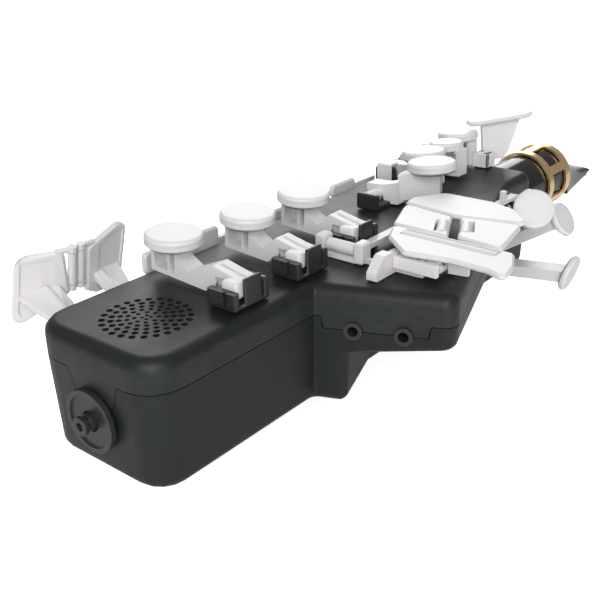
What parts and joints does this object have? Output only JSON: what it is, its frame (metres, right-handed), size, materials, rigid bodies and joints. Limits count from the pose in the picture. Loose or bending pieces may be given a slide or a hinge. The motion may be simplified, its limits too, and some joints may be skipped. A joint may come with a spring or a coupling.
{
  "type": "digital wind controller",
  "caption": "Handheld electronic wind controller: black box body with a side wing, white saxophone-style keys, speaker grille and a reed mouthpiece with a gold ligature.",
  "frame": {"origin": "middle of the body's flat back face, halfway between its two ends", "axes": "+Y along the body towards the mouthpiece, +X to the side of the wing, +Z out of the key face"},
  "size_m": [0.1371, 0.3354, 0.0764],
  "materials": {
    "battery_wrap": "foil wrap",
    "black_gloss": "polished black",
    "black_plastic": "satin black",
    "board": "solder mask",
    "cane": "dry cane",
    "cone_paper": "coated paper",
    "gold_lacquer": "polished lacquer",
    "plated_steel": "plated",
    "screw_steel": "black zinc",
    "shell_plastic": "fine matt texture",
    "silicone": "clear silicone",
    "white_plastic": "satin white"
  },
  "bodies": {
    "instrument": {"back_screw_1": "screw_steel", "back_screw_2": "screw_steel", "back_screw_3": "screw_steel", "back_screw_4": "screw_steel", "battery": "battery_wrap", "bracket_d": "black_plastic", "bracket_e": "black_plastic", "bracket_f": "black_plastic", "bracket_g": "black_plastic", "bracket_upper": "black_plastic", "breath_sensor": "black_plastic", "breath_tube": "silicone", "headphone_jack": "black_plastic", "ligature": "gold_lacquer", "ligature_screw_1": "gold_lacquer", "ligature_screw_2": "gold_lacquer", "line_jack": "black_plastic", "lower_shell": "shell_plastic", "main_board": "board", "mouthpiece": "black_gloss", "neck_receiver": "black_gloss", "outlet_flange": "black_plastic", "outlet_valve": "black_plastic", "reed": "cane", "speaker_basket": "plated_steel", "speaker_cone": "cone_paper", "strap_ring": "black_plastic", "table_bracket": "white_plastic", "thumb_hook": "black_plastic", "thumb_rest": "black_plastic", "upper_shell": "shell_plastic", "usb_port": "plated_steel"},
    "key d": {"key_d": "white_plastic"},
    "key e": {"key_e": "white_plastic"},
    "key f": {"key_f": "white_plastic"},
    "key a": {"key_a": "white_plastic"},
    "key bis": {"key_bis": "white_plastic"},
    "key b": {"key_b": "white_plastic"},
    "key g": {"key_g": "white_plastic"},
    "key front f": {"key_front_f": "white_plastic"},
    "key g sharp": {"key_g_sharp": "white_plastic"},
    "key c sharp": {"key_c_sharp": "white_plastic"},
    "key low b": {"key_low_b": "white_plastic"},
    "key low b flat": {"key_low_b_flat": "white_plastic"},
    "c sharp roller": {"c_sharp_roller": "white_plastic"},
    "low b roller": {"low_b_roller": "white_plastic"},
    "low b flat roller": {"low_b_flat_roller": "white_plastic"},
    "side key 1": {"side_key_1": "white_plastic"},
    "side key 2": {"side_key_2": "white_plastic"},
    "side key 3": {"side_key_3": "white_plastic"},
    "low e flat key": {"low_e_flat_key": "white_plastic"},
    "low c key": {"low_c_key": "white_plastic"},
    "e flat roller": {"e_flat_roller": "white_plastic"},
    "c roller": {"c_roller": "white_plastic"},
    "palm key 1": {"palm_key_1": "white_plastic"},
    "palm key 2": {"palm_key_2": "white_plastic"},
    "palm key 3": {"palm_key_3": "white_plastic"},
    "octave key": {"octave_key": "black_plastic"},
    "power button": {"power_button": "black_plastic"},
    "mode button": {"mode_button": "black_plastic"}
  },
  "joints": [
    {"name": "key d press", "type": "hinge", "parent": "instrument", "child": "key d", "pos_m": [0.0155, -0.064, 0.0461], "axis": [0, -1, 0], "range_deg": [0, 3.5], "stiffness_Nm_per_rad": 0.12, "springref_deg": -11.46},
    {"name": "key e press", "type": "hinge", "parent": "instrument", "child": "key e", "pos_m": [0.0155, -0.0354, 0.0461], "axis": [0, -1, 0], "range_deg": [0, 3.5], "stiffness_Nm_per_rad": 0.12, "springref_deg": -11.46},
    {"name": "key f press", "type": "hinge", "parent": "instrument", "child": "key f", "pos_m": [0.0155, -0.0072, 0.0461], "axis": [0, -1, 0], "range_deg": [0, 3.5], "stiffness_Nm_per_rad": 0.12, "springref_deg": -11.46},
    {"name": "key a press", "type": "hinge", "parent": "instrument", "child": "key a", "pos_m": [-0.0164, 0.0651, 0.0461], "axis": [0, 1, 0], "range_deg": [0, 3.5], "stiffness_Nm_per_rad": 0.12, "springref_deg": -11.46},
    {"name": "key bis press", "type": "hinge", "parent": "instrument", "child": "key bis", "pos_m": [-0.0164, 0.0817, 0.0461], "axis": [0, 1, 0], "range_deg": [0, 3.5], "stiffness_Nm_per_rad": 0.12, "springref_deg": -11.46},
    {"name": "key b press", "type": "hinge", "parent": "instrument", "child": "key b", "pos_m": [-0.0184, 0.1005, 0.0461], "axis": [0, 1, 0], "range_deg": [0, 3.5], "stiffness_Nm_per_rad": 0.12, "springref_deg": -11.46},
    {"name": "key g press", "type": "hinge", "parent": "instrument", "child": "key g", "pos_m": [-0.0034, 0.0352, 0.0461], "axis": [0, 1, 0], "range_deg": [0, 3.5], "stiffness_Nm_per_rad": 0.12, "springref_deg": -11.46},
    {"name": "key front f press", "type": "hinge", "parent": "instrument", "child": "key front f", "pos_m": [0.0046, 0.1042, 0.0458], "axis": [-1, 0, 0], "range_deg": [0, 3.5], "stiffness_Nm_per_rad": 0.12, "springref_deg": -11.46},
    {"name": "key g sharp press", "type": "hinge", "parent": "instrument", "child": "key g sharp", "pos_m": [0.0195, -0.0196, 0.0459], "axis": [-1, 0, 0], "range_deg": [0, 2.5], "stiffness_Nm_per_rad": 0.12, "springref_deg": -11.46},
    {"name": "key c sharp press", "type": "hinge", "parent": "instrument", "child": "key c sharp", "pos_m": [0.043, -0.0175, 0.0459], "axis": [-1, 0, 0], "range_deg": [0, 3], "stiffness_Nm_per_rad": 0.12, "springref_deg": -11.46},
    {"name": "key low b press", "type": "hinge", "parent": "instrument", "child": "key low b", "pos_m": [0.0532, -0.0175, 0.0459], "axis": [-1, 0, 0], "range_deg": [0, 3], "stiffness_Nm_per_rad": 0.12, "springref_deg": -11.46},
    {"name": "key low b flat press", "type": "hinge", "parent": "instrument", "child": "key low b flat", "pos_m": [0.0466, -0.0175, 0.0459], "axis": [-1, 0, 0], "range_deg": [0, 3], "stiffness_Nm_per_rad": 0.12, "springref_deg": -11.46},
    {"name": "c sharp roller spin", "type": "hinge", "parent": "key c sharp", "child": "c sharp roller", "pos_m": [0.04478, 0.0008, 0.0487], "axis": [-0.4377, 0.8991, 0], "continuous": true},
    {"name": "low b roller spin", "type": "hinge", "parent": "key low b", "child": "low b roller", "pos_m": [0.05173, 0.0044, 0.0487], "axis": [-0.4522, 0.8919, 0], "continuous": true},
    {"name": "low b flat roller spin", "type": "hinge", "parent": "key low b flat", "child": "low b flat roller", "pos_m": [0.03548, -0.00683, 0.0487], "axis": [0.9999, -0.0166, 0], "continuous": true},
    {"name": "side key 1 press", "type": "hinge", "parent": "instrument", "child": "side key 1", "pos_m": [-0.029, -0.026, 0.0352], "axis": [0, 1, 0], "range_deg": [0, 5], "stiffness_Nm_per_rad": 0.12, "springref_deg": -11.46},
    {"name": "side key 2 press", "type": "hinge", "parent": "instrument", "child": "side key 2", "pos_m": [-0.029, 0.023, 0.0352], "axis": [0, 1, 0], "range_deg": [0, 5], "stiffness_Nm_per_rad": 0.12, "springref_deg": -11.46},
    {"name": "side key 3 press", "type": "hinge", "parent": "instrument", "child": "side key 3", "pos_m": [-0.029, 0.057, 0.0352], "axis": [0, 1, 0], "range_deg": [0, 5], "stiffness_Nm_per_rad": 0.12, "springref_deg": -11.46},
    {"name": "low e flat key press", "type": "hinge", "parent": "instrument", "child": "low e flat key", "pos_m": [-0.0294, -0.093, 0.028], "axis": [0, 1, 0], "range_deg": [0, 4], "stiffness_Nm_per_rad": 0.12, "springref_deg": -11.46},
    {"name": "low c key press", "type": "hinge", "parent": "instrument", "child": "low c key", "pos_m": [-0.0294, -0.072, 0.028], "axis": [0, 1, 0], "range_deg": [0, 4], "stiffness_Nm_per_rad": 0.12, "springref_deg": -11.46},
    {"name": "e flat roller spin", "type": "hinge", "parent": "low e flat key", "child": "e flat roller", "pos_m": [-0.045, -0.07915, 0.042], "axis": [0.2079, 0, 0.9781], "continuous": true},
    {"name": "c roller spin", "type": "hinge", "parent": "low c key", "child": "c roller", "pos_m": [-0.045, -0.07585, 0.042], "axis": [0.2079, 0, 0.9781], "continuous": true},
    {"name": "palm key 1 press", "type": "hinge", "parent": "instrument", "child": "palm key 1", "pos_m": [0.0334, 0.0745, 0.0368], "axis": [0, 1, 0], "range_deg": [0, 3.5], "stiffness_Nm_per_rad": 0.12, "springref_deg": -11.46},
    {"name": "palm key 2 press", "type": "slide", "parent": "instrument", "child": "palm key 2", "axis": [-0.8412, 0, -0.5408], "range_m": [0, 0.0025], "stiffness_N_per_m": 400, "springref_m": -0.003},
    {"name": "palm key 3 press", "type": "slide", "parent": "instrument", "child": "palm key 3", "axis": [-0.9927, 0, -0.1203], "range_m": [0, 0.0025], "stiffness_N_per_m": 400, "springref_m": -0.003},
    {"name": "octave key press", "type": "hinge", "parent": "instrument", "child": "octave key", "pos_m": [-0.009, 0.0894, -0.003], "axis": [0, -1, 0], "range_deg": [0, 5], "stiffness_Nm_per_rad": 0.12, "springref_deg": -11.46},
    {"name": "power button press", "type": "slide", "parent": "instrument", "child": "power button", "axis": [1, 0, 0], "range_m": [0, 0.0008], "stiffness_N_per_m": 1500, "springref_m": -0.0005},
    {"name": "mode button press", "type": "slide", "parent": "instrument", "child": "mode button", "axis": [1, 0, 0], "range_m": [0, 0.0008], "stiffness_N_per_m": 1500, "springref_m": -0.0005}
  ]
}
